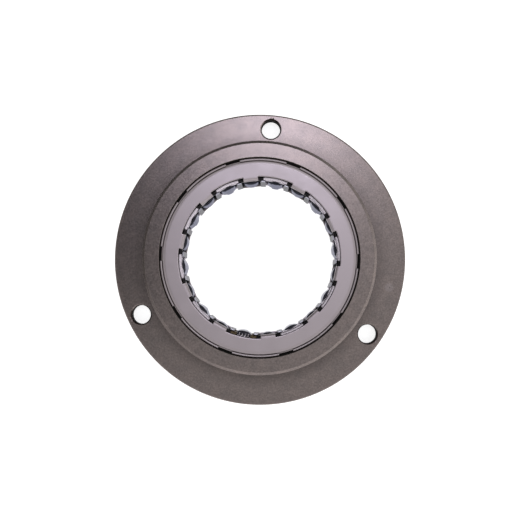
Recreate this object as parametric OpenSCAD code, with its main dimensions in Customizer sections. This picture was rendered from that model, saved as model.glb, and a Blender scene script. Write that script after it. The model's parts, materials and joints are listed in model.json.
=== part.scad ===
// Flanged sprag clutch: a one-way starter clutch whose twenty sprags sit in a pressed cage.
// The origin is on the clutch axis at the back face of the flange, with +Z towards the boss.

/* [Outer race] */
// Diameter of the mounting flange
flange_d = 109; // [107:0.5:114]
// Thickness of the mounting flange
flange_t = 5.5; // [4:0.25:8]
// Rounding of the flange's front rim
flange_round = 1; // [0.4:0.2:1.6]
// Diameter of the boss that stands on the flange
boss_d = 84.7; // [82.7:0.5:88.2]
// Height of the race from its back face to the front of the boss
race_h = 20; // [19:0.5:24]
// Bevel round the front of the boss
boss_bevel = 1.2; // [0.5:0.1:2]
// Diameter of the track that the sprags press against
track_d = 71.42; // [71.3:0.01:71.6]
// Diameter of the seat for the cage's brim, at the front of the bore
seat_d = 72.8; // [72.7:0.05:73.5]

/* [Bolt holes] */
// Number of bolt holes
bolt_count = 3; // [3:1:6]
// Diameter of the bolt circle
bolt_pcd = 98; // [96:0.5:98]
// Diameter of each bolt hole, a clearance hole for an M6 bolt
bolt_hole_d = 7; // [6.4:0.1:7.4]
// Width of the countersink at each end of a bolt hole
bolt_bevel = 0.5; // [0.2:0.1:0.8]

/* [Sprags] */
// Number of sprags, an even number because every second one has a tab over it
sprag_count = 20; // [16:2:20]
// Length of each sprag along the axis
sprag_len = 15.1; // [13:0.1:15.1]
// Radius of the cam that faces the hub
inner_cam_r = 4.9; // [4.8:0.05:5]
// Radius of the cam that faces the track
outer_cam_r = 4.5; // [4.4:0.05:4.6]
// Radius of the smallest circle that touches a sprag under a tab
tip_r = 27.25; // [27.2:0.05:27.35]
// How much further in the sprags between the tabs sit while no hub is fitted
sprag_drop = 0.25; // [0.1:0.05:0.3]
// Sideways offset of the two cams, which makes a sprag grow taller as it rocks
cam_offset = 1.8; // [1.5:0.05:1.9]
// Thickness of a sprag at its waist
waist_w = 4.4; // [3.8:0.1:4.8]
// Bevel round both ends of a sprag
sprag_bevel = 0.2; // [0.15:0.05:0.4]

/* [Cage] */
// Inner radius of the cage's cover plates, between the tabs
plate_bore_r = 29.3; // [29.25:0.05:29.5]
// Outer radius of the cover plates
plate_r = 34.95; // [34.9:0.01:34.96]
// Thickness of the cover plates
plate_t = 0.7; // [0.6:0.05:0.8]
// Distance of the front tabs from the axis
tab_r = 27.75; // [27.7:0.02:27.8]
// Width of a front tab
tab_w = 5.3; // [4.6:0.1:5.6]
// Width of a rear tab, which fills the space between two fingers
rear_tab_w = 7; // [5:0.1:7]
// Distance of the inner cage's fingers and of the rear tabs from the axis
finger_r = 27.5; // [27.45:0.01:27.52]
// Thickness of the inner cage's sheet
inner_t = 0.5; // [0.4:0.05:0.5]
// Space between two fingers of the inner cage
inner_window_w = 7.25; // [7.1:0.05:7.5]
// Width of a window of the outer cage
outer_window_w = 8.4; // [8:0.1:9]
// Wall thickness of the outer cage
sleeve_t = 0.45; // [0.35:0.05:0.45]
// Width of a notch in the brim
notch_w = 5.4; // [4.5:0.1:6]

/* [Garter springs] */
// Outer diameter of the spring's coil
coil_d = 1.9; // [1.7:0.05:1.9]
// Diameter of the spring's wire
wire_d = 0.28; // [0.24:0.01:0.32]
// Radius of the ring that the spring makes round the sprags
garter_r = 29; // [29:0.01:29.05]

/* [Hidden] */
// Angle of the first sprag between the tabs, seen from the front
cage_phase = 11.2;
// Angle of the sprag where the ends of the front garter spring are joined
joint_phase = cage_phase + 252;
// Half the angle that a spring's open turns take up, and its plain tinted end
joint_half = 5.4;
joint_end = 4;
joint_turns = 5;
wire_sides = 6;

flange_r = flange_d / 2;
boss_r = boss_d / 2;
track_r = track_d / 2;
seat_r = seat_d / 2;
small_bevel = 0.3;
back_bevel = 0.5;
boss_fillet = 0.8;

// Heights along the axis: the cage is the same front and back, about its own middle
cage_gap = 0.5;
cage_mid = race_h / 2;
plate_top = race_h - cage_gap;
plate_low = plate_top - plate_t;
sprag_top = cage_mid + sprag_len / 2;
finger_top = sprag_top + 0.1;
brim_top = plate_top - 0.4;
brim_low = brim_top - 0.5;
seat_z = brim_low - 0.1;
plate_bend = plate_t + 0.3;
wall_end = plate_top - 1.6;
tab_end = plate_low - 0.85;

sleeve_in_r = plate_r;
sleeve_out_r = sleeve_in_r + sleeve_t;
brim_r = seat_r - 0.5;
finger_bend = inner_t + 0.3;
ring_out_r = 33;
window_clear = 0.2;

// A sprag turns about the centre of its outer cam, so that cam keeps its distance from the track
pitch = 360 / sprag_count;
pivot_r = track_r - 0.21 - outer_cam_r;
cam_step = sqrt(pow(tip_r + inner_cam_r, 2) - pow(cam_offset, 2)) - pivot_r;
lean = atan(cam_offset / pivot_r);
channel_low = garter_r - coil_d / 2 - 0.3;
channel_high = garter_r + coil_d / 2 + sprag_drop + 0.55;
channel_depth = coil_d + 0.2;
channel_tilt = 6;
flank_r = 4.4;
spring_z = sprag_top - channel_depth / 2 + 0.05;
// The open turns are a little narrower than the closed coils that they run into
wire_ring_r = (coil_d - wire_d) / 2 - 0.07;

function two_digits(i) = i < 10 ? str("0", i) : str(i);
function sprag_name(i) = str("sprag_", two_digits(i));
function sprag_angle(i) = cage_phase + (i - 1) * pitch;
function under_tab(i) = i % 2 == 0;

// Points of an arc in a profile, from one angle to another
function arc(x, z, r, from, to, steps = 6) =
    [for (i = [0:steps]) let (a = from + (to - from) * i / steps) [x + r * cos(a), z + r * sin(a)]];

// Turns a copy of what follows to the middle of the cage and mirrors it there
module flip_to_back() {
    translate([0, 0, race_h])
        mirror([0, 0, 1])
            children();
}

// A cutter for a window or a notch: a block that reaches from one radius to another
module window_block(width, r_from, r_to, z_from, z_to) {
    translate([r_from, -width / 2, z_from])
        cube([r_to - r_from, width, z_to - z_from]);
}

// Flange, boss and bore, turned from one blank
module race_profile() {
    polygon(concat(
        [[track_r + back_bevel, 0], [flange_r - back_bevel, 0], [flange_r, back_bevel]],
        arc(flange_r - flange_round, flange_t - flange_round, flange_round, 0, 90),
        arc(boss_r + boss_fillet, flange_t + boss_fillet, boss_fillet, 270, 180),
        [[boss_r, race_h - boss_bevel], [boss_r - boss_bevel, race_h]],
        [[seat_r + small_bevel, race_h], [seat_r, race_h - small_bevel]],
        [[seat_r, seat_z], [track_r, seat_z], [track_r, back_bevel]]
    ));
}

module bolt_hole() {
    cylinder(h = flange_t * 3, d = bolt_hole_d, center = true, $fn = 48);
    translate([0, 0, flange_t - bolt_bevel])
        cylinder(h = bolt_bevel * 2, d1 = bolt_hole_d, d2 = bolt_hole_d + 4 * bolt_bevel, $fn = 48);
    translate([0, 0, -bolt_bevel])
        cylinder(h = bolt_bevel * 2, d1 = bolt_hole_d + 4 * bolt_bevel, d2 = bolt_hole_d, $fn = 48);
}

module outer_race() {
    color("#6f6662")
        difference() {
            rotate_extrude($fn = 240)
                race_profile();
            for (i = [0:bolt_count - 1])
                rotate(90 + i * 360 / bolt_count)
                    translate([bolt_pcd / 2, 0, 0])
                        bolt_hole();
        }
}

// Sleeve with a brim that rests in the race's seat; the brim is notched so that it can spring
module outer_cage() {
    bend = 0.55;
    color("#8e878b")
        difference() {
            rotate_extrude($fn = 240)
                polygon(concat(
                    [[sleeve_in_r, cage_gap], [sleeve_out_r, cage_gap], [sleeve_out_r, brim_low]],
                    [[brim_r, brim_low], [brim_r, brim_top]],
                    arc(sleeve_in_r + bend, brim_top - bend, bend, 90, 180)
                ));
            for (i = [1:sprag_count])
                rotate(sprag_angle(i) - lean)
                    window_block(outer_window_w, 33, 37,
                        race_h - sprag_top - window_clear, sprag_top + window_clear);
            for (i = [1:2:sprag_count])
                rotate(sprag_angle(i) + 1.5 * pitch + 0.3)
                    window_block(notch_w, sleeve_in_r + 0.25, 38, brim_low - 0.7, race_h);
        }
}

// A flange against the inside of the rear plate, with twenty fingers that end inside the front spring
module inner_cage() {
    flange_z = race_h - plate_low;
    bend_x = finger_r + finger_bend;
    color("#b3afb4")
        difference() {
            rotate_extrude($fn = 240)
                polygon(concat(
                    [[finger_r + inner_t, finger_top], [finger_r, finger_top]],
                    arc(bend_x, flange_z + finger_bend, finger_bend, 180, 270),
                    [[ring_out_r, flange_z], [ring_out_r, flange_z + inner_t]],
                    arc(bend_x, flange_z + finger_bend, finger_bend - inner_t, 270, 180)
                ));
            for (i = [1:sprag_count])
                rotate(sprag_angle(i))
                    window_block(inner_window_w, 26, plate_bore_r + 0.1, -1, race_h + 1);
        }
}

// One tab of a cover plate: it runs inwards, then bends back along a straight line
module plate_tab(width, from_axis) {
    bend_x = from_axis + plate_bend;
    translate([0, width / 2, 0])
        rotate([90, 0, 0])
            linear_extrude(width)
                polygon(concat(
                    [[plate_bore_r + 0.6, plate_top]],
                    arc(bend_x, plate_top - plate_bend, plate_bend, 90, 180),
                    [[from_axis, tab_end], [from_axis + plate_t, tab_end]],
                    arc(bend_x, plate_top - plate_bend, plate_bend - plate_t, 180, 90),
                    [[plate_bore_r + 0.6, plate_low]]
                ));
}

// Cover plate whose outer edge is curled over and whose inner edge carries the tabs
module cover_plate(tab_width, tabs_from_axis) {
    color("#b7aeb4") {
        rotate_extrude($fn = 240)
            polygon(concat(
                [[plate_bore_r, plate_low], [plate_bore_r, plate_top]],
                arc(plate_r - plate_bend, plate_top - plate_bend, plate_bend, 90, 0),
                [[plate_r, wall_end], [plate_r - plate_t, wall_end]],
                arc(plate_r - plate_bend, plate_top - plate_bend, plate_bend - plate_t, 0, 90)
            ));
        for (i = [1:sprag_count])
            if (under_tab(i))
                rotate(sprag_angle(i))
                    plate_tab(tab_width, tabs_from_axis);
    }
}

module front_plate() {
    cover_plate(tab_w, tab_r);
}

module rear_plate() {
    flip_to_back()
        cover_plate(rear_tab_w, finger_r);
}

// The closed coils of a garter spring, left open where its ends are joined
module garter_coils(z) {
    color("#c9c9cc")
        rotate(joint_phase + joint_half + joint_end)
            rotate_extrude(angle = 360 - 2 * (joint_half + joint_end), $fn = 240)
                translate([garter_r, z])
                    circle(d = coil_d, $fn = 24);
}

// Middle of the wire in the open turns, from 0 at one end to 1 at the other
function wire_at(t) =
    let (a = (2 * t - 1) * (joint_half + 0.6), turn = 360 * joint_turns * t)
    let (r = garter_r + wire_ring_r * cos(turn))
    [r * cos(a), r * sin(a), wire_ring_r * sin(turn)];

// Unit vector from the middle of the coil to the wire
function wire_side(t) =
    let (a = (2 * t - 1) * (joint_half + 0.6), turn = 360 * joint_turns * t)
    [cos(turn) * cos(a), cos(turn) * sin(a), sin(turn)];

function unit(v) = v / norm(v);

// One ring of points round the wire
function wire_ring(t) =
    let (along = unit(wire_at(t + 0.001) - wire_at(t - 0.001)), out = wire_side(t), up = cross(along, out))
    [for (k = [0:wire_sides - 1]) let (b = 360 * k / wire_sides)
        wire_at(t) + wire_d / 2 * (cos(b) * out + sin(b) * up)];

// The open turns of the joint, one wire swept along its helix
module open_turns() {
    steps = joint_turns * 10;
    polyhedron(
        points = [for (i = [0:steps]) each wire_ring(i / steps)],
        faces = concat(
            [[for (k = [0:wire_sides - 1]) k]],
            [[for (k = [wire_sides - 1:-1:0]) steps * wire_sides + k]],
            [for (i = [0:steps - 1], k = [0:wire_sides - 1])
                let (a = i * wire_sides + k, b = i * wire_sides + (k + 1) % wire_sides)
                [a, a + wire_sides, b + wire_sides, b]]
        )
    );
}

// The joint: open turns that run into the two plain tinted ends of the spring
module garter_joint(z) {
    color("#8a7350")
        for (side = [0, 1])
            rotate(joint_phase - joint_half - joint_end + side * (2 * joint_half + joint_end))
                rotate_extrude(angle = joint_end, $fn = 240)
                    translate([garter_r, z])
                        circle(d = coil_d, $fn = 24);
    color("#c9c9cc")
        rotate(joint_phase)
            translate([0, 0, z])
                open_turns();
}

module front_spring() {
    garter_coils(spring_z);
}

module front_spring_joint() {
    garter_joint(spring_z);
}

module rear_spring() {
    garter_coils(race_h - spring_z);
}

module rear_spring_joint() {
    garter_joint(race_h - spring_z);
}

// A rod with bevelled ends, the blank for one cam
module cam_blank(r) {
    rotate_extrude($fn = 96)
        polygon([
            [0, 0], [r - sprag_bevel, 0], [r, sprag_bevel],
            [r, sprag_len - sprag_bevel], [r - sprag_bevel, sprag_len], [0, sprag_len]
        ]);
}

// The half of a cam's blank that lies inside or outside the line between the two cams
module half_cam(r, at, outer) {
    split = cam_step / 2;
    intersection() {
        translate([at.x, at.y, 0])
            cam_blank(r);
        translate([outer ? split : split - 10, -10, -1])
            cube([10, 20, sprag_len + 2]);
    }
}

// The hollow of one flank, and the channel across one end for the garter spring
module flank_cut(side) {
    waist = [(outer_cam_r - inner_cam_r + cam_step) / 2, cam_offset / 2];
    slant = atan(cam_offset / (outer_cam_r + inner_cam_r - cam_step));
    translate([waist.x, waist.y, -1])
        rotate(-slant)
            translate([0, side * (waist_w / 2 + flank_r), 0])
                cylinder(h = sprag_len + 2, r = flank_r, $fn = 96);
}

module spring_channel() {
    rotate(channel_tilt)
        translate([channel_low - pivot_r, -8, 0])
            cube([channel_high - channel_low, 16, channel_depth + 1]);
}

// Two cams with offset centres; the inner one is at +Y of the outer one, about which it rocks
module sprag_body() {
    difference() {
        union() {
            half_cam(outer_cam_r, [0, 0], true);
            half_cam(inner_cam_r, [cam_step, cam_offset], false);
        }
        flank_cut(1);
        flank_cut(-1);
        translate([0, 0, -1])
            spring_channel();
        translate([0, 0, sprag_len - channel_depth])
            spring_channel();
    }
}

module sprag(i) {
    drop = under_tab(i) ? 0 : sprag_drop;
    color("#9a9aa0")
        rotate(sprag_angle(i) - lean)
            translate([pivot_r - drop, 0, race_h - sprag_top])
                sprag_body();
}

outer_race();
outer_cage();
inner_cage();
front_plate();
rear_plate();
front_spring();
front_spring_joint();
rear_spring();
rear_spring_joint();
for (i = [1:sprag_count])
    sprag(i);
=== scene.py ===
"""Flanged sprag clutch: a grey steel race whose bore holds a ring of polished sprags in a pressed cage.

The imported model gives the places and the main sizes. This script turns, presses and winds a finer piece
for each of its nodes, gives the pieces their steel finishes, and lights them on a white floor.
"""

import json
import math

import bmesh
import bpy
from bpy.props import FloatProperty, FloatVectorProperty, IntProperty, PointerProperty
from mathutils import Matrix, Vector


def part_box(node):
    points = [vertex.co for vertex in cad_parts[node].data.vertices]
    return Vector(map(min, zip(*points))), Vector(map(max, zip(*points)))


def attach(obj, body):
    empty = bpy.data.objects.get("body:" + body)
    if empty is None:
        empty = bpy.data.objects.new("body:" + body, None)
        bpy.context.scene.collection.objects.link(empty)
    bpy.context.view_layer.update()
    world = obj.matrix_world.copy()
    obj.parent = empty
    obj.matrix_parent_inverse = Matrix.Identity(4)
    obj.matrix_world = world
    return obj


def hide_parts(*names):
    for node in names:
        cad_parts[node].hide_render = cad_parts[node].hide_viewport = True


bl_info = {
    "name": "Sprag clutch",
    "version": (1, 0, 0),
    "blender": (4, 5, 0),
    "location": "3D View > Sidebar > Clutch",
    "description": "Builds a flanged sprag clutch round its packed model, with its steels and a studio",
    "category": "Object",
}

MM = 0.001
# Places that are nearer to each other than this count as the same
NEAR = 0.01 * MM
UP = Vector((0, 0, 1))
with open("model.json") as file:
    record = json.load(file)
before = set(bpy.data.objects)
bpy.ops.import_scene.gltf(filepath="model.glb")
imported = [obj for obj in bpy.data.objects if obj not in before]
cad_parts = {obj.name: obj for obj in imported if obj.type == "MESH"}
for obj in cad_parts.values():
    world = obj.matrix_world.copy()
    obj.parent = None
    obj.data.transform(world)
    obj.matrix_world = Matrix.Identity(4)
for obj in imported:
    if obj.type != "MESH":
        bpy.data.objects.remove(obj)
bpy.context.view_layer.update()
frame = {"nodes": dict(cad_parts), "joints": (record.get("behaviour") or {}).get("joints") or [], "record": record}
mounts = {mount["name"]: mount for mount in frame["record"]["mounts"]}
joints = {joint["child"]: joint for joint in frame["joints"]}
sprag_names = sorted(name for name in frame["nodes"] if name.startswith("sprag_"))


def linear(hex_colour):
    """Linear red, green and blue of an sRGB hex colour."""
    shares = [int(hex_colour[i : i + 2], 16) / 255 for i in (1, 3, 5)]
    return [s / 12.92 if s <= 0.04045 else ((s + 0.055) / 1.055) ** 2.4 for s in shares]


def mount_size(mount, name):
    """A size of a mount, in metres."""
    return mounts[mount]["dims"][name] * MM


def reach(node):
    """Largest distance of a node from the clutch axis, from its box, which is as wide as it is deep."""
    low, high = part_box(node)
    return (high.x - low.x) / 2


def bottom(node):
    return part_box(node)[0].z


def top(node):
    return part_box(node)[1].z


def length(name, description, default):
    facts = {"name": name, "description": description, "default": default}
    return FloatProperty(**facts, unit="LENGTH", precision=5)


def angle(name, description, degrees):
    facts = {"name": name, "description": description, "default": math.radians(degrees)}
    return FloatProperty(**facts, subtype="ANGLE")


def colour(name, description, hex_colour):
    facts = {"name": name, "description": description, "default": linear(hex_colour)}
    return FloatVectorProperty(**facts, subtype="COLOR", size=3, min=0, max=1)


class ClutchRaceSizes(bpy.types.PropertyGroup):
    """Sizes of the outer race."""

    flange_r: length("Flange radius", "From the axis to the flange's rim", reach("outer_race"))
    flange_t: length("Flange thickness", "From the back face to the flange's front", 5.5 * MM)
    flange_round: length("Flange rounding", "Radius of the flange's front rim", 0.6 * MM)
    height: length("Height", "From the back face to the front of the boss", top("outer_race"))
    boss_r: length("Boss radius", "From the axis to its side", mount_size("boss_register", "r_mm"))
    boss_bevel: length("Boss bevel", "Width of the bevel round the front of the boss", 0.95 * MM)
    boss_drop: length("Boss bevel, drop", "Height of that bevel", 0.68 * MM)
    boss_round: length("Boss rounding", "Radius of the inner edge of that bevel", 0.3 * MM)
    boss_fillet: length("Boss fillet", "Radius where the boss meets the flange", 0.8 * MM)
    track_r: length("Track radius", "From the axis to the track of the sprags", 35.71 * MM)
    seat_r: length("Seat radius", "From the axis to the wall of the brim's seat", 36.32 * MM)
    seat_depth: length("Seat depth", "From the front of the boss to the floor of the seat", 1.5 * MM)
    edge_bevel: length("Edge bevel", "Width of the small turned bevels", 0.12 * MM)
    back_bevel: length("Back bevel", "Width of the bevels at the back face", 0.5 * MM)
    hole_bevel: length("Countersink", "Width of the bolt holes' countersinks", 0.5 * MM)
    # Width of the painted shade on the flange round the foot of the boss, where the boss shades it
    foot_shade_w: length("Foot", "Width of the darker flange round the boss", 7 * MM)
    mark_r: length("Hardness mark", "From the axis to the dent of the hardness test", 49.5 * MM)
    mark_turn: angle("Hardness mark, turn", "Direction of the dent about the axis", -7.6)
    dent_r: length("Dent radius", "Radius of the dent's rim", 0.42 * MM)
    dent_depth: length("Dent depth", "Depth of the dent", 0.1 * MM)
    mark_ground: length("Ground spot", "Radius of the spot that was ground for the test", 1.2 * MM)
    mark_faded: length("Ground spot, edge", "Radius at which that spot has faded out", 2.0 * MM)


class ClutchCageSizes(bpy.types.PropertyGroup):
    """Sizes of the pressed cage."""

    plate_bore_r: length("Plate bore", "From the axis to a cover plate's inner edge", 29.3 * MM)
    plate_r: length("Plate radius", "From the axis to a cover plate's rim", reach("front_plate"))
    plate_t: length("Plate thickness", "Thickness of the cover plates' sheet", 0.7 * MM)
    plate_bend: length("Plate bend", "Outer radius of the bend at the root of a tab", 1.0 * MM)
    rim_bend: length("Plate rim", "Outer radius of the bend at a cover plate's rim", 0.35 * MM)
    dome_r: length("Plate dome", "Radius of the dome just inside a cover plate's rim", 4.6 * MM)
    dome_slope: angle("Plate dome, slope", "Slope of the dome where the bend of the rim starts", 12)
    flare: length("Flare", "How far the sleeve widens round the rim of the cover plate", 0.05 * MM)
    tab_r: length("Tab distance", "From the axis to the face of a front tab", 27.75 * MM)
    tab_w: length("Tab width", "Width of a front tab", 5.3 * MM)
    tab_depth: length("Tab depth", "How far a tab reaches down from the back of its plate", 0.85 * MM)
    rear_tab_w: length("Rear tab width", "Width of a rear tab, between two fingers", 7.0 * MM)
    finger_r: length("Finger distance", "From the axis to a finger or a rear tab", 27.5 * MM)
    finger_gap: angle("Finger gap", "Half the angle between two fingers", 7)
    finger_bend: length("Finger bend", "Outer radius of a finger's bend", 0.8 * MM)
    finger_t: length("Inner cage thickness", "Thickness of the inner cage's sheet", 0.5 * MM)
    finger_tip: length("Finger tip", "Rounding of the corners of a finger's tip", 0.45 * MM)
    brim_bend: length("Brim bend", "Radius to which the sleeve's front edge is rolled", 0.62 * MM)
    brim_r: length("Brim radius", "From the axis to its edge", reach("outer_cage") + 0.2 * MM)
    sleeve_t: length("Sleeve thickness", "Thickness of the outer cage's sheet", 0.45 * MM)
    notch_w: length("Notch width", "Width of a notch in the brim", 5.4 * MM)
    notch_turn: angle("Notch, turn", "How far a notch is turned from the middle of its gap", 0.3)
    window_w: length("Window width", "Width of a window of the outer cage", 8.4 * MM)
    sector_steps: IntProperty(name="Steps", description="Steps in a tenth of a plate", default=62)


class ClutchSpragSizes(bpy.types.PropertyGroup):
    """Sizes of the sprags and of the springs that hold them."""

    outer_cam_r: length("Outer cam", "Radius of the cam that faces the track", 4.5 * MM)
    inner_cam_r: length("Inner cam", "Radius of the cam that faces the hub", 4.9 * MM)
    tip_r: length("Tip distance", "From the axis to the tip of a sprag under a tab", 27.25 * MM)
    drop: length("Drop", "How much further in the sprags between the tabs sit", 0.25 * MM)
    cam_offset: length("Cam offset", "Sideways offset of the two cams", 1.8 * MM)
    waist_w: length("Waist", "Thickness of a sprag at its waist", 4.4 * MM)
    flank_r: length("Flank radius", "Radius of the hollow of each flank", 4.4 * MM)
    end_bevel: length("End rounding", "Rounding of both ends of a sprag", 0.2 * MM)
    play_in: length("Channel, inner play", "Room in a channel on the spring's inner side", 0.5 * MM)
    play_out: length("Channel, outer play", "Room in a channel on the spring's outer side", 0.55 * MM)
    play_under: length("Channel, play below", "Room in a channel below the spring", 0.1 * MM)
    channel_turn: angle("Channel, turn", "How far a channel is turned from square", 6)
    wire_d: length("Spring wire", "Diameter of the garter springs' wire", 0.28 * MM)
    lift: length("Spring lift", "Bulge of a garter spring between the tabs", 0.85 * MM)
    more: length("Spring fullness", "How much thicker a coil is at each side than packed", 0.12 * MM)
    joint_turn: angle("Joint, turn", "Direction about the axis of a spring's joint", 263.2)
    open_half: angle("Open turns, reach", "Half the angle that the open turns take up", 5.4)
    tinted: angle("Tinted turns", "Angle of the browned turns at each side", 4.0)
    open_turns: IntProperty(name="Open turns", description="Open turns in a spring's joint", default=5)
    turn_points: IntProperty(name="Points", description="Points in one turn of wire", default=12)


class ClutchFinishes(bpy.types.PropertyGroup):
    """Colours of the steels, and where painted shade darkens the race and the sprags."""

    race: colour("Race", "Blasted and hardened bearing steel", "#776d6a")
    race_dark: colour("Race, dark", "Darker patches of the blasted steel", "#6e6664")
    # Painted shade: black for the seat, track and bolt holes, which lie in deep shade
    seat: colour("Race, seat", "Oiled black steel of the seat, track and bolt holes", "#121110")
    plate: colour("Cover plates", "Satin pressed steel", "#9d9497")
    brim: colour("Outer cage", "Pressed spring steel", "#9a9294")
    fingers: colour("Inner cage", "Tumbled sheet steel", "#b0aeb8")
    sprags: colour("Sprags", "Polished bearing steel", "#9799a6")
    walls: colour("Sprag walls", "Their colour at a flat angle", "#8a8b9e")
    # Painted shade: dark colour for the sprags' end faces and channel floors, which lie in shade
    ends: colour("Sprag ends", "Black scale on the sprags' ends", "#48484f")
    wire: colour("Spring wire", "Drawn spring wire", "#d6ced6")
    tint: colour("Heat tint", "Brown oxide on the springs' joined ends", "#655845")
    # Painted shade: between these two heights the front of the cams under a tab goes dark, where the tab shades
    # them
    unshaded_to: length("Clean sprags, top", "Height up to which the sprags are clean", 11 * MM)
    tab_shade_from: length("Oiled sprags, foot", "Height from which some are black", 14.5 * MM)


class ClutchStudio(bpy.types.PropertyGroup):
    """Camera, tent and softbox. Every turn starts from the picture's top."""

    lens: FloatProperty(name="Lens", description="Focal length in picture widths", default=990 / 520)
    camera_height: length("Camera height", "Height of the camera above the back face", 376 * MM)
    camera_down: length("Camera, down", "Its offset towards the picture's foot", 15 * MM)
    camera_right: length("Camera, right", "Its offset towards the picture's right", 4.2 * MM)
    aim_down: length("Aim, down", "Offset of its aim towards the picture's foot", 0.97 * MM)
    aim_right: length("Aim, right", "Offset of its aim towards the picture's right", 0.24 * MM)
    roll: angle("Picture top", "Direction about the axis that points up in the picture", 94.9)
    opening_turn: angle("Opening, turn", "Direction in which the tent's opening lies", 56)
    opening_tilt: angle("Opening, tilt", "Angle between the axis and the middle of the opening", 14)
    opening_edge: angle("Opening, dark to", "Half the angle over which the opening is dark", 7.7)
    tent_edge: angle("Opening, bright from", "Half the angle from which the tent is bright", 12)
    bright_turn: angle("Bright side", "Direction in which the tent is brightest", -140)
    lamp_turn: angle("Softbox, turn", "Direction in which the softbox lies", -2.7)
    lamp_tilt: angle("Softbox, tilt", "Angle between the axis and the softbox", 11.5)
    lamp_distance: length("Softbox distance", "From the clutch to the softbox", 6)
    lamp_w: length("Softbox width", "Diameter of the softbox", 0.854)
    lamp_level: FloatProperty(name="Softbox level", description="Light, white being 1", default=8.9)
    lamp_tone: FloatVectorProperty(name="Softbox tone", description="Colour", default=(1.0, 1.0, 1.17))


def start_clean():
    """Leaves edit mode and selects nothing, because an operator acts on all that is selected."""
    if bpy.context.object is not None and bpy.context.object.mode != "OBJECT":
        bpy.ops.object.mode_set(mode="OBJECT")
    bpy.ops.object.select_all(action="DESELECT")


def take(piece):
    """Makes a piece the only selected one, and the active one."""
    start_clean()
    piece.select_set(True)
    bpy.context.view_layer.objects.active = piece


def add_object(operator, **settings):
    """Adds an object with one of the operators for that."""
    start_clean()
    operator(**settings)
    return bpy.context.object


def rename(piece, name):
    piece.name = name
    piece.data.name = name


def choose(piece, kind, test):
    """Selects in edit mode the vertices, edges or faces that pass a test, and nothing else."""
    bpy.ops.mesh.select_mode(type=kind)
    bpy.ops.mesh.select_all(action="DESELECT")
    mesh = bmesh.from_edit_mesh(piece.data)
    for element in {"VERT": mesh.verts, "EDGE": mesh.edges, "FACE": mesh.faces}[kind]:
        element.select_set(test(element))
    mesh.select_flush_mode()
    bmesh.update_edit_mesh(piece.data)


def middle(element):
    """Middle of an edge or a face."""
    points = [vert.co for vert in element.verts]
    return sum(points, Vector()) / len(points)


def arc(x, z, radius, start, end, steps=6):
    """Points of an arc in a profile, with its angles in degrees."""
    turns = [math.radians(start + (end - start) * i / steps) for i in range(steps + 1)]
    return [(x + radius * math.cos(t), z + radius * math.sin(t)) for t in turns]


def draw_profile(name, points, angle=0.0):
    """A wire in the upright plane at an angle about the axis, extruded from one point to the next."""
    piece = add_object(bpy.ops.mesh.primitive_plane_add, size=MM, location=(0, 0, 0))
    rename(piece, name)
    bpy.ops.object.mode_set(mode="EDIT")
    bpy.ops.mesh.select_mode(type="VERT")
    bpy.ops.mesh.merge(type="CENTER")
    places = [Vector((r * math.cos(angle), r * math.sin(angle), z)) for r, z in points]
    bpy.ops.transform.translate(value=places[0])
    for here, there in zip(places, places[1:]):
        bpy.ops.mesh.extrude_region_move(TRANSFORM_OT_translate={"value": there - here})
    return piece


def close_profile(piece):
    """Joins the first and the last point of a profile with an edge."""
    choose(piece, "VERT", lambda vert: len(vert.link_edges) == 1)
    bpy.ops.mesh.edge_face_add()


def turn_profile(steps, angle=math.tau):
    """Spins the profile in edit mode about the clutch axis, and merges where it meets itself."""
    bpy.ops.mesh.select_all(action="SELECT")
    bpy.ops.mesh.spin(steps=steps, dupli=False, angle=angle, center=(0, 0, 0), axis=(0, 0, 1))
    merge_points()


def merge_points():
    bpy.ops.mesh.select_all(action="SELECT")
    bpy.ops.mesh.remove_doubles(threshold=0.001 * MM)


def face_out(piece, place_test, direction):
    """Turns all faces one way: those that pass the test then face along the direction."""
    bpy.ops.mesh.select_all(action="SELECT")
    bpy.ops.mesh.normals_make_consistent(inside=False)
    mesh = bmesh.from_edit_mesh(piece.data)
    face = next(face for face in mesh.faces if place_test(middle(face)))
    face.normal_update()
    if face.normal.dot(direction) < 0:
        bpy.ops.mesh.select_all(action="SELECT")
        bpy.ops.mesh.flip_normals()


def apply_modifier(piece, kind, **settings):
    """Adds a modifier with its settings and applies it."""
    take(piece)
    bpy.ops.object.modifier_add(type=kind)
    modifier = piece.modifiers[-1]
    for name, value in settings.items():
        setattr(modifier, name, value)
    bpy.ops.object.modifier_apply(modifier=modifier.name)


def cut(piece, cutter, operation="DIFFERENCE"):
    """Cuts a piece with another, which is then deleted."""
    apply_modifier(piece, "BOOLEAN", object=cutter, operation=operation, solver="EXACT")
    take(cutter)
    bpy.ops.object.delete()


def break_edges(piece, width, degrees):
    """Rounds the edges that bend by more than an angle."""
    sharp = math.radians(degrees)
    apply_modifier(piece, "BEVEL", width=width, segments=2, limit_method="ANGLE", angle_limit=sharp)


def thicken(piece, thickness, edge):
    """Gives drawn sheet its thickness and rounds its cut edges."""
    apply_modifier(piece, "SOLIDIFY", thickness=thickness, offset=-1, use_even_offset=True)
    break_edges(piece, edge, 50)


def turn_piece(piece, angle, axis=2, place=(0, 0, 0)):
    """Turns a finished mesh about an axis, moves it to its place, and keeps both in its mesh."""
    take(piece)
    piece.rotation_euler[axis] = angle
    piece.location = place
    bpy.ops.object.transform_apply(location=True, rotation=True, scale=True)


def copy_of(piece, name):
    take(piece)
    bpy.ops.object.duplicate()
    rename(bpy.context.object, name)
    return bpy.context.object


def finish_piece(piece, body, node, material, smooth=30):
    """Smooths a piece up to an angle, gives it its steel, and lets it stand for its node."""
    take(piece)
    bpy.ops.object.shade_smooth_by_angle(angle=math.radians(smooth))
    apply_modifier(piece, "WEIGHTED_NORMAL", mode="FACE_AREA", weight=50, keep_sharp=True)
    if not piece.data.materials:
        piece.data.materials.append(material)
    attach(piece, body)
    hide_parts(node)


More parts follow.
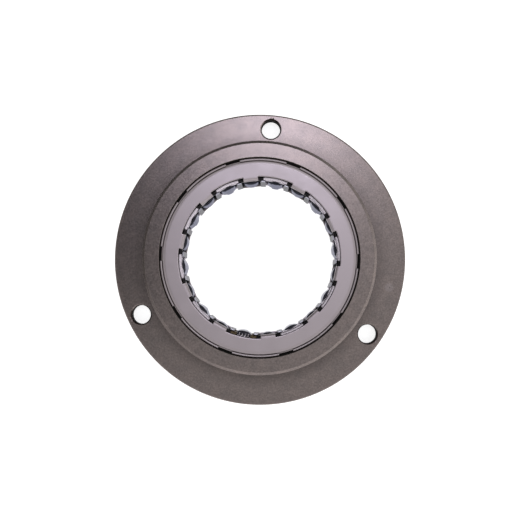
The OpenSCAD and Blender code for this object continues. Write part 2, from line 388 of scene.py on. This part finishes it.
def set_inputs(tree, node, inputs):
    """Gives each input of a shader node its value, or links it to the output that feeds it."""
    for name, value in inputs.items():
        if isinstance(value, bpy.types.NodeSocket):
            tree.links.new(value, node.inputs[name])
        else:
            node.inputs[name].default_value = value


def add_node(tree, kind, settings={}, inputs={}):
    """Adds a shader node with its own settings and its inputs."""
    node = tree.nodes.new("ShaderNode" + kind)
    for name, value in settings.items():
        setattr(node, name, value)
    set_inputs(tree, node, inputs)
    return node


def calculate(tree, operation, *inputs):
    """Result of a sum on numbers."""
    return add_node(tree, "Math", {"operation": operation}, dict(enumerate(inputs))).outputs["Value"]


def combine(tree, operation, *inputs):
    """Result of a sum on vectors, which is a number for a product, a distance or a length."""
    node = add_node(tree, "VectorMath", {"operation": operation}, dict(enumerate(inputs)))
    return node.outputs["Value" if operation in ("DOT_PRODUCT", "DISTANCE", "LENGTH") else "Vector"]


def parts_of(tree, vector):
    """Outputs X, Y and Z of a vector."""
    return add_node(tree, "SeparateXYZ", {}, {0: vector}).outputs


def scaled(tree, tone, factor):
    """A colour made darker or lighter by a factor."""
    node = add_node(tree, "VectorMath", {"operation": "SCALE"}, {0: tone, "Scale": factor})
    return node.outputs["Vector"]


def blend(tree, factor, plain, other):
    """One colour where a factor is 0, and the other where it is 1."""
    node = add_node(tree, "Mix", {"data_type": "RGBA"}, {"Factor": factor, 6: plain, 7: other})
    return node.outputs[2]


def spread(tree, value, start, end, low=0.0, high=1.0, kind="SMOOTHSTEP"):
    """Goes from low to high while a value goes from start to end."""
    inputs = {"Value": value, "From Min": start, "From Max": end, "To Min": low, "To Max": high}
    return add_node(tree, "MapRange", {"interpolation_type": kind}, inputs).outputs["Result"]


def vary(tree, noise, low, high):
    """Goes from low to high with a noise, nearly all of which lies between 0.3 and 0.7."""
    return spread(tree, noise, 0.3, 0.7, low, high, "LINEAR")


def make_noise(tree, place, size_mm, detail, roughness=0.5):
    """A noise whose features are that many millimetres wide."""
    inputs = {"Vector": place, "Scale": 1 / (size_mm * MM), "Detail": detail, "Roughness": roughness}
    return add_node(tree, "TexNoise", {}, inputs).outputs["Fac"]


def relief(tree, height, strength):
    """Normal of a surface with the fine relief that a noise gives."""
    inputs = {"Strength": strength, "Distance": 0.03 * MM, "Height": height}
    return add_node(tree, "Bump", {}, inputs).outputs["Normal"]


def shader_of(material):
    """Node tree of a material, and its shader."""
    material.use_nodes = True
    return material.node_tree, material.node_tree.nodes["Principled BSDF"]


def new_steel(name, roughness):
    """A metal with its tree, its shader and its Object coordinates."""
    material = bpy.data.materials.new(name)
    tree, shader = shader_of(material)
    set_inputs(tree, shader, {"Metallic": 1.0, "Roughness": roughness})
    return material, tree, shader, add_node(tree, "TexCoord").outputs["Object"]


def what_feeds(shader, name):
    """Output that feeds an input of a shader."""
    return shader.inputs[name].links[0].from_socket


def rgba(tone):
    return (*tone, 1.0)


def blasted_steel(finishes, size, mark):
    """Bearing steel, hardened and grit-blasted: dark, brownish and even, with a fine matt grain.

    It has painted shade round the foot of the boss, and is bright where it was ground for the hardness test.
    """
    material, tree, shader, place = new_steel("Grit-blasted bearing steel", roughness=0.22)
    patches = make_noise(tree, place, 5, 5.0, 0.7)
    grit = make_noise(tree, place, 0.6, 3.0, 0.7)
    patchy = spread(tree, patches, 0.35, 0.65, kind="LINEAR")
    blasted = blend(tree, patchy, rgba(finishes.race_dark), rgba(finishes.race))
    grainy = scaled(tree, blasted, vary(tree, grit, 0.76, 1.24))
    from_mark = combine(tree, "DISTANCE", place, mark)
    ground = spread(tree, from_mark, size.mark_ground, size.mark_faded, 0.22, 0.0)
    marked = blend(tree, ground, grainy, rgba(finishes.brim))
    from_axis = combine(tree, "LENGTH", combine(tree, "MULTIPLY", place, (1, 1, 0)))
    # Painted shade: the flange is darkened next to the boss, where the boss shades it
    shade = spread(tree, from_axis, size.boss_r, size.boss_r + size.foot_shade_w, 0.7)
    height = parts_of(tree, place)["Z"]
    on_boss = calculate(tree, "GREATER_THAN", height, size.flange_t + size.boss_fillet)
    inputs = {
        "Base Color": scaled(tree, marked, calculate(tree, "MAXIMUM", shade, on_boss)),
        "Roughness": vary(tree, grit, 0.20, 0.24),
        "Normal": relief(tree, grit, 0.04),
    }
    set_inputs(tree, shader, inputs)
    return material


def shaded_black_steel(finishes):
    """The same steel, painted black and matt as shade for the seat, track and bolt holes, which lie in deep shade.
    """
    material, tree, shader, place = new_steel("Bearing steel in painted shade", roughness=0.8)
    mottle = vary(tree, make_noise(tree, place, 2, 3.0), 0.7, 1.3)
    base = scaled(tree, tuple(finishes.seat), mottle)
    set_inputs(tree, shader, {"Metallic": 0.0, "Specular IOR Level": 0.1, "Base Color": base})
    return material


def pressed_steel(name, tone, roughness, grain_mm=0.9, bump=0.12, wear=0.10, edge=1.0):
    """Cold-rolled sheet pressed in a die and tumbled: smooth and satin, with slight clouding."""
    material, tree, shader, place = new_steel(name, roughness)
    clouds = make_noise(tree, place, 6, 4.0, 0.6)
    grain = make_noise(tree, place, grain_mm, 3.0)
    inputs = {
        "Base Color": scaled(tree, tuple(tone), vary(tree, clouds, 1 - wear, 1 + wear / 2)),
        "Specular Tint": (edge, edge, edge, 1),
        "Roughness": vary(tree, clouds, roughness - 0.02, roughness + 0.03),
        "Normal": relief(tree, grain, bump),
    }
    set_inputs(tree, shader, inputs)
    return material


def tab_wave(tree, gap):
    """A wave round the axis, 1 between two tabs and -1 under a tab, and the height it is taken at."""
    place = parts_of(tree, add_node(tree, "TexCoord").outputs["Object"])
    turn = calculate(tree, "ARCTAN2", place["Y"], place["X"])
    tabs = len(sprag_names) / 2
    wave = calculate(tree, "MULTIPLY_ADD", turn, tabs, -tabs * gap)
    return calculate(tree, "COSINE", wave), place["Z"]


def polished_steel(finishes, gap):
    """Bearing steel, hardened and polished by tumbling.

    Its ends and channel floors are painted dark as shade, and so is the front of the cams that stand under a tab.
    """
    name = "Tumble-polished bearing steel"
    material = pressed_steel(name, finishes.sprags, roughness=0.12, grain_mm=1.2, bump=0.10, wear=0.06)
    tree, shader = shader_of(material)
    facing = parts_of(tree, add_node(tree, "TexCoord").outputs["Normal"])["Z"]
    # Painted shade: faces that look along the axis, the ends and channel floors, are made dark and matt
    shaded_face = calculate(tree, "GREATER_THAN", calculate(tree, "ABSOLUTE", facing), 0.3)
    wave, height = tab_wave(tree, gap)
    # Painted shade: the front of each cam that stands under a tab is darkened, where the tab shades it
    under_tab = calculate(tree, "LESS_THAN", wave, 0.0)
    at_front = spread(tree, height, finishes.unshaded_to, finishes.tab_shade_from)
    tab_shade = calculate(tree, "MULTIPLY", at_front, under_tab)
    black = rgba(finishes.ends)
    base = blend(tree, shaded_face, what_feeds(shader, "Base Color"), black)
    dull = calculate(tree, "MAXIMUM", shaded_face, tab_shade)
    roughness = {"Factor": dull, "A": what_feeds(shader, "Roughness"), "B": 0.55}
    inputs = {
        "Base Color": blend(tree, tab_shade, base, black),
        "Specular Tint": blend(tree, tab_shade, rgba(finishes.walls), black),
        "Roughness": add_node(tree, "Mix", {}, roughness).outputs["Result"],
    }
    set_inputs(tree, shader, inputs)
    return material


def drawn_wire(finishes, gap):
    """Drawn spring wire, bright from the die, with painted shade where it runs under the tabs."""
    name = "Bright drawn spring wire"
    material = pressed_steel(name, finishes.wire, roughness=0.25, grain_mm=0.4, bump=0.05, wear=0.05)
    tree, shader = shader_of(material)
    # Painted shade: the wire goes nearly black under and beside the tabs, where the plate shades it
    unshaded = spread(tree, tab_wave(tree, gap)[0], 0.0, 0.12, 0.04)
    set_inputs(tree, shader, {"Base Color": scaled(tree, what_feeds(shader, "Base Color"), unshaded)})
    return material


def tinted_wire(finishes, joint_place, plain_length):
    """The same wire, browned by the heat of joining its ends, with bright open turns between them."""
    material, tree, shader, place = new_steel("Heat-tinted spring wire", roughness=0.24)
    from_joint = combine(tree, "DISTANCE", place, joint_place)
    tint = spread(tree, from_joint, plain_length * 0.75, plain_length * 1.15)
    base = blend(tree, tint, rgba(finishes.wire), rgba(finishes.tint))
    set_inputs(tree, shader, {"Base Color": base})
    return material


def polar(radius, turn, height):
    """A point at a radius and an angle about the clutch axis."""
    return Vector((radius * math.cos(turn), radius * math.sin(turn), height))


def near(turn, places, reach_angle):
    """True within an angle of one of the places round the axis."""
    return any(abs((turn - place + math.pi) % math.tau - math.pi) < reach_angle for place in places)


def pivot_distance(name):
    """Distance of a sprag's pivot from the clutch axis."""
    return Vector(joints[name]["pos_m"][:2]).length


def angle_of(name):
    """Angle of a sprag's pivot about the clutch axis."""
    x, y, _ = joints[name]["pos_m"]
    return math.atan2(y, x)


def lean_angle(context):
    """Angle between a sprag's pivot and the middle of the sprag."""
    return math.atan(context.scene.clutch_sprags.cam_offset / pivot_distance("sprag_02"))


def gap_angle(context):
    """Angle about the clutch axis of the first gap between two tabs, where sprag_01 stands."""
    return angle_of("sprag_01") + lean_angle(context)


class CLUTCH_OT_turn_race(bpy.types.Operator):
    """Turn the outer race, drill its bolt holes and press the mark of the hardness test"""

    bl_idname = "clutch.turn_race"
    bl_label = "Turn the outer race"

    def execute(self, context):
        size = context.scene.clutch_race
        seat_z = size.height - size.seat_depth
        slope = math.atan(size.boss_drop / size.boss_bevel)
        bevel_end = size.boss_r - size.boss_bevel - size.boss_round * math.tan(slope / 2)
        rise = 90 - math.degrees(slope)
        rim, fillet = size.flange_round, size.boss_fillet
        points = (
            [(size.track_r + size.back_bevel, 0), (size.flange_r - size.back_bevel, 0)]
            + [(size.flange_r, size.back_bevel)]
            + arc(size.flange_r - rim, size.flange_t - rim, rim, 0, 90)
            + arc(size.boss_r + fillet, size.flange_t + fillet, fillet, 270, 180)
            + [(size.boss_r, size.height - size.boss_drop)]
            + arc(bevel_end, size.height - size.boss_round, size.boss_round, rise, 90)
            + [(size.seat_r + size.edge_bevel, size.height)]
            + [(size.seat_r, size.height - size.edge_bevel)]
            + [(size.seat_r, seat_z), (size.track_r, seat_z), (size.track_r, size.back_bevel)]
        )
        race = draw_profile("race_body", points)
        close_profile(race)
        turn_profile(steps=360)
        face_out(race, lambda place: place.z < NEAR, -UP)
        hole_r = mount_size("bolt_circle", "hole_r_mm")
        circle_r = mount_size("bolt_circle", "pcd_mm") / 2
        count = mounts["bolt_circle"]["dims"]["count"]
        holes = [polar(circle_r, math.pi / 2 + i * math.tau / count, 0) for i in range(count)]
        for place in holes:
            cut(race, self.drill(size, hole_r, place))
        self.press_mark(race, size)
        break_edges(race, 0.08 * MM, 25)
        mark = polar(size.mark_r, size.mark_turn, size.flange_t)
        steel = blasted_steel(context.scene.clutch_finishes, size, mark)
        race.data.materials.append(steel)
        race.data.materials.append(shaded_black_steel(context.scene.clutch_finishes))
        inside_seat = size.seat_r - 0.05 * MM

        # Faces painted black as shade: the bolt holes' walls and everything inside the brim's seat
        def in_painted_shade(face):
            place = middle(face).to_2d()
            in_hole = any((place - hole.to_2d()).length < hole_r + NEAR for hole in holes)
            return in_hole or place.length < inside_seat

        take(race)
        bpy.ops.object.mode_set(mode="EDIT")
        choose(race, "FACE", in_painted_shade)
        race.active_material_index = 1
        bpy.ops.object.material_slot_assign()
        finish_piece(race, "race", "outer_race", steel)
        return {"FINISHED"}

    def drill(self, size, radius, place):
        """A cutter with the bolt hole's form: straight, and countersunk at both ends."""
        past = 1 * MM
        wide = radius + size.hole_bevel + past
        front = size.flange_t
        points = [(0, -past), (wide, -past), (radius, size.hole_bevel)]
        points += [(radius, front - size.hole_bevel), (wide, front + past), (0, front + past)]
        drill = draw_profile("drill", points)
        turn_profile(steps=96)
        bpy.ops.mesh.normals_make_consistent(inside=False)
        start_clean()
        drill.location = place
        return drill

    def press_mark(self, race, size):
        """The small round dent that a hardness test leaves on the flange."""
        ball_r = (size.dent_r**2 + size.dent_depth**2) / (2 * size.dent_depth)
        place = polar(size.mark_r, size.mark_turn, size.flange_t - size.dent_depth + ball_r)
        ball = {"segments": 64, "ring_count": 48, "radius": ball_r, "location": place}
        cut(race, add_object(bpy.ops.mesh.primitive_uv_sphere_add, **ball))


class CLUTCH_OT_press_plates(bpy.types.Operator):
    """Press the two cover plates, each with a curled rim and ten tabs bent back at its bore"""

    bl_idname = "clutch.press_plates"
    bl_label = "Press the cover plates"

    def execute(self, context):
        size = context.scene.clutch_cage
        front = self.press("front_cover", size, size.tab_w, size.tab_r)
        rear = self.press("rear_cover", size, size.rear_tab_w, size.finger_r)
        turn_piece(rear, math.pi, axis=0, place=(0, 0, top("outer_race")))
        tone = context.scene.clutch_finishes.plate
        steel = pressed_steel("Satin pressed steel", tone, roughness=0.31, wear=0.03)
        for piece, node in ((front, "front_plate"), (rear, "rear_plate")):
            turn_piece(piece, angle_of("sprag_02") + lean_angle(context))
            finish_piece(piece, "cartridge", node, steel)
        return {"FINISHED"}

    def press(self, name, size, tab_w, tab_r):
        """A cover plate in the front plate's place, from ten like sectors with a tab in each."""
        z = top("front_plate")
        wall_end = bottom("front_plate")
        row_w = 0.4 * MM
        tabs = len(sprag_names) // 2
        share = math.tau / tabs
        fall, run = math.cos(size.dome_slope), math.sin(size.dome_slope)
        rim_r = size.plate_r + size.flare
        bend_x = rim_r - size.rim_bend
        bend_z = z - size.dome_r * (1 - fall) - size.rim_bend * fall
        slope = 90 - math.degrees(size.dome_slope)
        dome_x = bend_x - (size.dome_r - size.rim_bend) * run
        points = [(size.plate_bore_r, z), (size.plate_bore_r + row_w, z)]
        points += arc(dome_x, z - size.dome_r, size.dome_r, 90, slope, 8)
        points += arc(bend_x, bend_z, size.rim_bend, slope, 0, 6)[1:] + [(size.plate_r, wall_end)]
        plate = draw_profile(name, points, angle=share / 2)
        turn_profile(size.sector_steps, share)
        self.bend_tab(plate, size, z, tab_w, tab_r, share / size.sector_steps)
        sectors = [plate] + [copy_of(plate, "sector") for _ in range(tabs - 1)]
        for i, sector in enumerate(sectors):
            turn_piece(sector, i * share)
        start_clean()
        for sector in sectors:
            sector.select_set(True)
        bpy.context.view_layer.objects.active = plate
        bpy.ops.object.join()
        bpy.ops.object.mode_set(mode="EDIT")
        merge_points()
        face_out(plate, lambda place: place.z > z - NEAR, UP)
        thicken(plate, size.plate_t, 0.13 * MM)
        return plate

    def bend_tab(self, plate, size, z, tab_w, tab_r, step):
        """Draws a tab out of the middle of the sector's inner edge and bends it back."""
        steps = round(math.asin(tab_w / 2 / size.plate_bore_r) / step)
        root_w = 2 * size.plate_bore_r * math.sin(steps * step)

        def in_root(edge):
            at_bore = abs(middle(edge).to_2d().length - size.plate_bore_r) < NEAR
            inside = all(abs(math.atan2(v.co.y, v.co.x)) < (steps + 0.5) * step for v in edge.verts)
            return at_bore and inside and len(edge.link_faces) == 1

        choose(plate, "EDGE", in_root)
        bend_x = tab_r + size.plate_bend
        bend = arc(bend_x, z - size.plate_bend, size.plate_bend, 90, 180, 8)
        line = bend + [(tab_r, z - size.plate_t - size.tab_depth)]
        here = Vector((size.plate_bore_r, 0, z))
        widen = tab_w / root_w
        for x, height in line:
            there = Vector((x, 0, height))
            bpy.ops.mesh.extrude_region_move(TRANSFORM_OT_translate={"value": there - here})
            bpy.ops.transform.resize(value=(0, widen, 1), center_override=there)
            here = there
            widen = 1


class CLUTCH_OT_press_outer_cage(bpy.types.Operator):
    """Press the outer cage: a sleeve with a window for each sprag, and a notched brim"""

    bl_idname = "clutch.press_outer_cage"
    bl_label = "Press the outer cage"

    def execute(self, context):
        size = context.scene.clutch_cage
        inner_r = size.plate_r
        low, high = bottom("outer_cage"), top("outer_cage")
        clear = 0.2 * MM
        window_low, window_high = bottom(sprag_names[0]) - clear, top(sprag_names[0]) + clear
        notch_r = inner_r + 0.1 * MM
        rows = (low, window_low, (window_low + window_high) / 2, window_high)
        points = [(inner_r, row) for row in rows]
        crest_r = inner_r + size.flare + size.brim_bend
        brim_end = math.degrees(math.acos((size.brim_r - crest_r) / size.brim_bend))
        points += arc(crest_r, high - size.brim_bend, size.brim_bend, 180, brim_end, 12)
        cage = draw_profile("cage_sleeve", points, angle_of("sprag_01"))
        turn_profile(steps=720)
        window = math.asin(size.window_w / 2 / inner_r)
        notch = math.asin(size.notch_w / 2 / size.brim_r)
        sprags = [angle_of(name) for name in sprag_names]
        notch_shift = 1.5 * math.tau / len(sprag_names) + size.notch_turn + lean_angle(context)
        notches = [place + notch_shift for place in sprags[::2]]

        def cut_away(face):
            place = middle(face)
            turn = math.atan2(place.y, place.x)
            in_window = window_low < place.z < window_high and near(turn, sprags, window)
            in_notch = place.to_2d().length > notch_r and near(turn, notches, notch)
            return in_window or in_notch

        choose(cage, "FACE", cut_away)
        bpy.ops.mesh.delete(type="FACE")
        on_brim = inner_r + size.brim_bend / 2
        face_out(cage, lambda place: place.to_2d().length > on_brim, UP)
        thicken(cage, size.sleeve_t, 0.1 * MM)
        tone = context.scene.clutch_finishes.brim
        steel = pressed_steel("Pressed spring steel", tone, roughness=0.3)
        finish_piece(cage, "cartridge", "outer_cage", steel)
        return {"FINISHED"}


class CLUTCH_OT_press_inner_cage(bpy.types.Operator):
    """Press the inner cage: a ring at the rear with a finger between each two sprags"""

    bl_idname = "clutch.press_inner_cage"
    bl_label = "Press the inner cage"

    def execute(self, context):
        size = context.scene.clutch_cage
        low, high = bottom("inner_cage"), top("inner_cage")
        window_end = size.plate_bore_r + 0.1 * MM
        bend_r = size.finger_bend
        bend = arc(size.finger_r + bend_r, low + bend_r, bend_r, 180, 270, 8)
        points = [(size.finger_r, high)] + bend + [(window_end, low), (reach("inner_cage"), low)]
        cage = draw_profile("finger_ring", points, gap_angle(context))
        turn_profile(steps=360)
        sprags = [angle_of(name) + lean_angle(context) for name in sprag_names]

        def cut_away(face):
            place = middle(face)
            between = near(math.atan2(place.y, place.x), sprags, size.finger_gap)
            return between and place.to_2d().length < window_end

        choose(cage, "FACE", cut_away)
        bpy.ops.mesh.delete(type="FACE")
        choose(cage, "VERT", lambda vert: vert.co.z > high - NEAR and len(vert.link_edges) == 2)
        bpy.ops.mesh.bevel(offset=size.finger_tip, segments=4, affect="VERTICES")
        face_out(cage, lambda place: place.z < low + NEAR, -UP)
        thicken(cage, size.finger_t, 0.14 * MM)
        tone = context.scene.clutch_finishes.fingers
        steel = pressed_steel("Tumbled sheet steel", tone, roughness=0.2, edge=0.3)
        finish_piece(cage, "cartridge", "inner_cage", steel)
        return {"FINISHED"}


class CLUTCH_OT_grind_sprags(bpy.types.Operator):
    """Grind a sprag from two cams, hollow its flanks, cut its channels, and copy it round the cage"""

    bl_idname = "clutch.grind_sprags"
    bl_label = "Grind the sprags"

    def execute(self, context):
        size = context.scene.clutch_sprags
        low, high = bottom(sprag_names[0]), top(sprag_names[0])
        length_z = high - low
        pivot_r = pivot_distance("sprag_02")
        step = math.sqrt((size.tip_r + size.inner_cam_r) ** 2 - size.cam_offset**2) - pivot_r
        sprag = self.half_cam(size, size.outer_cam_r, length_z, (0, 0, 0), step / 2, 1)
        inner_place = (step, size.cam_offset, 0)
        inner_half = self.half_cam(size, size.inner_cam_r, length_z, inner_place, step / 2, -1)
        cut(sprag, inner_half, "UNION")
        waist = Vector(((size.outer_cam_r - size.inner_cam_r + step) / 2, size.cam_offset / 2, 0))
        slant = math.atan(size.cam_offset / (size.outer_cam_r + size.inner_cam_r - step))
        away = Vector((math.sin(slant), math.cos(slant), 0)) * (size.waist_w / 2 + size.flank_r)
        for centre in (waist + away, waist - away):
            cut(sprag, self.rod(size.flank_r, length_z * 1.2, centre))
        for side in (1, -1):
            cut(sprag, self.channel(size, pivot_r, side * length_z / 2))
        break_edges(sprag, 0.09 * MM, 35)
        steel = polished_steel(context.scene.clutch_finishes, gap_angle(context))
        for name in sprag_names:
            piece = copy_of(sprag, name.replace("sprag", "cam"))
            x, y, _ = joints[name]["pos_m"]
            turn_piece(piece, angle_of(name), place=(x, y, (low + high) / 2))
            finish_piece(piece, name, name, steel)
        take(sprag)
        bpy.ops.object.delete()
        return {"FINISHED"}

    def half_cam(self, size, radius, length_z, place, split, side):
        """The half of a cam's blank on one side of the line between the two cams, a hair past it."""
        half = self.cam_blank(size, radius, length_z, place)
        past = 0.02 * MM
        block_w = 20 * MM
        block_x = split + side * (block_w / 2 - past)
        block = add_object(bpy.ops.mesh.primitive_cube_add, size=block_w, location=(block_x, 0, 0))
        cut(half, block, "INTERSECT")
        return half

    def rod(self, radius, length_z, place):
        """A smooth round rod along the axis."""
        rod = {"vertices": 128, "radius": radius, "depth": length_z, "location": place}
        return add_object(bpy.ops.mesh.primitive_cylinder_add, **rod)

    def cam_blank(self, size, radius, length_z, place):
        """A rod with rounded ends, the blank for one cam."""
        blank = self.rod(radius, length_z, place)
        bpy.ops.object.mode_set(mode="EDIT")
        choose(blank, "EDGE", lambda edge: abs(edge.verts[0].co.z - edge.verts[1].co.z) < NEAR)
        bpy.ops.mesh.bevel(offset=size.end_bevel, segments=4, affect="EDGES")
        return blank

    def channel(self, size, pivot_r, end_z):
        """A block that cuts the channel for the garter spring across one end."""
        coil_r = (top("front_spring") - bottom("front_spring")) / 2
        garter_r = reach("front_spring") - coil_r
        inner = garter_r - coil_r - size.play_in - pivot_r
        outer = garter_r + coil_r + size.drop + size.play_out - pivot_r
        depth = 2 * coil_r + size.more + size.play_under
        across = 16 * MM
        place = ((inner + outer) / 2, 0, end_z)
        block = add_object(bpy.ops.mesh.primitive_cube_add, size=1, location=place)
        block.scale = (outer - inner, across, 2 * depth)
        bpy.ops.object.transform_apply(location=True, rotation=False, scale=True)
        turn_piece(block, size.channel_turn)
        return block


class CLUTCH_OT_wind_springs(bpy.types.Operator):
    """Wind the two garter springs from wire, with open turns where their ends are joined"""

    bl_idname = "clutch.wind_springs"
    bl_label = "Wind the garter springs"

    def execute(self, context):
        size = context.scene.clutch_sprags
        bright = drawn_wire(context.scene.clutch_finishes, gap_angle(context))
        for side, lift in (("front", size.lift), ("rear", -size.lift)):
            self.wind_spring(context, side, lift, bright)
        return {"FINISHED"}

    def wind_spring(self, context, side, lift, bright):
        """One garter spring: its closed coils, and its joint of open turns between browned ones."""
        size = context.scene.clutch_sprags
        node = side + "_spring"
        packed_r = (top(node) - bottom(node)) / 2
        garter_r = reach(node) - packed_r
        ring_r = packed_r + size.more - size.wire_d / 2
        z = (top(node) + bottom(node)) / 2
        gap = gap_angle(context)

        def wind(name, stretches):
            """A wire through stretches, each with its start angle, its end angle and its turns."""
            points = []
            phase = 0.0
            for start, end, turns in stretches:
                count = math.ceil(turns * size.turn_points)
                for i in range(count):
                    turn = math.tau * (phase + turns * i / count)
                    place = start + (end - start) * i / count
                    bulge = (1 + math.cos((place - gap) * len(sprag_names) / 2)) / 2
                    height = z + lift * bulge + ring_r * math.sin(turn)
                    points.append(polar(garter_r + ring_r * math.cos(turn), place, height))
                phase += turns
            return self.wire(name, points, size.wire_d / 2)

        joint, half, far = size.joint_turn, size.open_half, size.open_half + size.tinted
        closed_turns = garter_r / size.wire_d
        around = (joint + far, joint + math.tau - far, (math.tau - 2 * far) * closed_turns)
        coil = wind(side + "_coil", [around])
        finish_piece(coil, "cartridge", node, bright, smooth=60)
        before = (joint - far, joint - half, size.tinted * closed_turns)
        between = (joint - half, joint + half, size.open_turns)
        after = (joint + half, joint + far, size.tinted * closed_turns)
        knot = wind(side + "_coil_joint", [before, between, after])
        brown = tinted_wire(context.scene.clutch_finishes, polar(garter_r, joint, z), half * garter_r)
        finish_piece(knot, "cartridge", node + "_joint", brown, smooth=60)

    def wire(self, name, points, radius):
        """A round wire along the points, as a mesh with closed ends."""
        curve = bpy.data.curves.new(name, "CURVE")
        curve.dimensions = "3D"
        curve.bevel_depth = radius
        curve.bevel_resolution = 1
        curve.use_fill_caps = True
        spline = curve.splines.new("POLY")
        spline.points.add(len(points) - 1)
        for point, place in zip(spline.points, points):
            point.co = (*place, 1)
        piece = bpy.data.objects.new(name, curve)
        bpy.context.scene.collection.objects.link(piece)
        take(piece)
        bpy.ops.object.convert(target="MESH")
        return bpy.context.object


class CLUTCH_OT_set_stage(bpy.types.Operator):
    """Lay the white floor and set the tent, the softbox and the camera"""

    bl_idname = "clutch.set_stage"
    bl_label = "Set the stage"

    def execute(self, context):
        scene = context.scene
        scene.view_settings.view_transform = "Standard"
        self.floor()
        self.sky(scene)
        self.lamp(scene)
        self.camera(scene)
        return {"FINISHED"}

    def floor(self):
        """A sheet of white paper, a hair below the clutch; the camera and the steel see it lit up."""
        floor = add_object(bpy.ops.mesh.primitive_plane_add, size=6, location=(0, 0, -0.05 * MM))
        floor.name = "floor"
        material = bpy.data.materials.new("White paper")
        tree, shader = shader_of(material)
        path = add_node(tree, "LightPath").outputs
        glow = calculate(tree, "MULTIPLY", path["Is Camera Ray"], 0.75)
        for kind in ("Is Glossy Ray", "Is Transmission Ray"):
            glow = calculate(tree, "MULTIPLY_ADD", path[kind], 0.6, glow)
        inputs = {
            "Base Color": (0.9, 0.9, 0.9, 1),
            "Roughness": 1.0,
            "Specular IOR Level": 0.0,
            "Emission Color": (1, 1, 1, 1),
            "Emission Strength": glow,
        }
        set_inputs(tree, shader, inputs)
        floor.data.materials.append(material)

    def sky(self, scene):
        """A bright tent with a dark opening overhead, which the camera sees as plain white.

        The tent is dark at one side and bright at the other, the more so the nearer to the floor.
        """
        world = bpy.data.worlds.new("Studio")
        world.use_nodes = True
        scene.world = world
        tree = world.node_tree
        studio = scene.clutch_studio
        direction = add_node(tree, "TexCoord").outputs["Generated"]
        opening = polar(math.sin(studio.opening_tilt), studio.roll + studio.opening_turn, 1.0)
        overhead = combine(tree, "DOT_PRODUCT", direction, opening.normalized())
        bright_from, dark_to = math.cos(studio.tent_edge), math.cos(studio.opening_edge)
        tent = self.ramp(tree, overhead, ((0.0, 1.0), (bright_from, 1.0), (dark_to, 0.03)))
        aside = polar(0.5, studio.roll + studio.bright_turn, 0.0)
        share = combine(tree, "DOT_PRODUCT", direction, aside)
        low = combine(tree, "DOT_PRODUCT", combine(tree, "MULTIPLY", direction, (1, 1, 0)), direction)
        share = calculate(tree, "MULTIPLY_ADD", share, low, 0.5)
        dark_side = ((0.0, 0.2), (0.25, 0.3))
        between = ((0.41, 0.88), (0.59, 0.92))
        bright_side = ((0.75, 1.4), (1.0, 1.5))
        sides = self.ramp(tree, share, dark_side + between + bright_side)
        path = add_node(tree, "LightPath").outputs
        seen = calculate(tree, "MAXIMUM", path["Is Camera Ray"], path["Is Transmission Ray"])
        light = blend(tree, seen, combine(tree, "MULTIPLY", tent, sides), (1, 1, 1, 1))
        set_inputs(tree, tree.nodes["Background"], {"Color": light})

    def ramp(self, tree, value, levels):
        """A grey ramp with a level at each position."""
        ramp = add_node(tree, "ValToRGB", {}, {"Fac": value})
        stops = ramp.color_ramp.elements
        stops[0].position, stops[-1].position = levels[0][0], levels[-1][0]
        for position, _ in levels[1:-1]:
            stops.new(position)
        for stop, (_, level) in zip(stops, levels):
            stop.color = (level, level, level, 1)
        return ramp.outputs["Color"]

    def lamp(self, scene):
        """A round softbox, turned about the axis from the picture's top and tilted from the axis."""
        studio = scene.clutch_studio
        turn, tilt = studio.roll + studio.lamp_turn, studio.lamp_tilt
        place = polar(math.sin(tilt), turn, math.cos(tilt)) * studio.lamp_distance
        lamp = add_object(bpy.ops.object.light_add, type="AREA", location=place)
        lamp.name = "Top softbox"
        lamp.data.shape = "DISK"
        lamp.data.size = studio.lamp_w
        lamp.data.energy = studio.lamp_level * math.pi * math.pi * studio.lamp_w**2 / 4
        lamp.data.color = studio.lamp_tone
        lamp.rotation_euler = (-place).to_track_quat("-Z", "Y").to_euler()

    def camera(self, scene):
        """The camera over the clutch, turned so that the picture's top is up."""
        studio = scene.clutch_studio
        up = polar(1, studio.roll, 0)
        right = Vector((up.y, -up.x, 0))
        place = -up * studio.camera_down + right * studio.camera_right
        place.z = studio.camera_height
        camera = add_object(bpy.ops.object.camera_add, location=place)
        camera.data.lens = studio.lens * camera.data.sensor_width
        camera.data.clip_start = 0.01
        aim = Vector((0, 0, top("outer_race"))) - up * studio.aim_down + right * studio.aim_right
        ahead = (aim - place).normalized()
        right = ahead.cross(up).normalized()
        camera.rotation_euler = Matrix((right, right.cross(ahead), -ahead)).transposed().to_euler()
        scene.camera = camera


OPERATORS = (
    CLUTCH_OT_turn_race,
    CLUTCH_OT_press_outer_cage,
    CLUTCH_OT_press_inner_cage,
    CLUTCH_OT_press_plates,
    CLUTCH_OT_grind_sprags,
    CLUTCH_OT_wind_springs,
    CLUTCH_OT_set_stage,
)


class VIEW3D_PT_clutch(bpy.types.Panel):
    """Lists the steps that build the clutch"""

    bl_label = "Sprag clutch"
    bl_space_type = "VIEW_3D"
    bl_region_type = "UI"
    bl_category = "Clutch"

    def draw(self, context):
        for operator in OPERATORS:
            self.layout.operator(operator.bl_idname)


GROUPS = {
    "clutch_race": ClutchRaceSizes,
    "clutch_cage": ClutchCageSizes,
    "clutch_sprags": ClutchSpragSizes,
    "clutch_finishes": ClutchFinishes,
    "clutch_studio": ClutchStudio,
}


def register():
    for kind in (*GROUPS.values(), *OPERATORS, VIEW3D_PT_clutch):
        bpy.utils.register_class(kind)
    for name, group in GROUPS.items():
        setattr(bpy.types.Scene, name, PointerProperty(type=group))


def unregister():
    for name in GROUPS:
        delattr(bpy.types.Scene, name)
    for kind in reversed((*GROUPS.values(), *OPERATORS, VIEW3D_PT_clutch)):
        bpy.utils.unregister_class(kind)


def main():
    register()
    for operator in OPERATORS:
        group, step = operator.bl_idname.split(".")
        getattr(getattr(bpy.ops, group), step)()


if __name__ == "__main__":
    main()
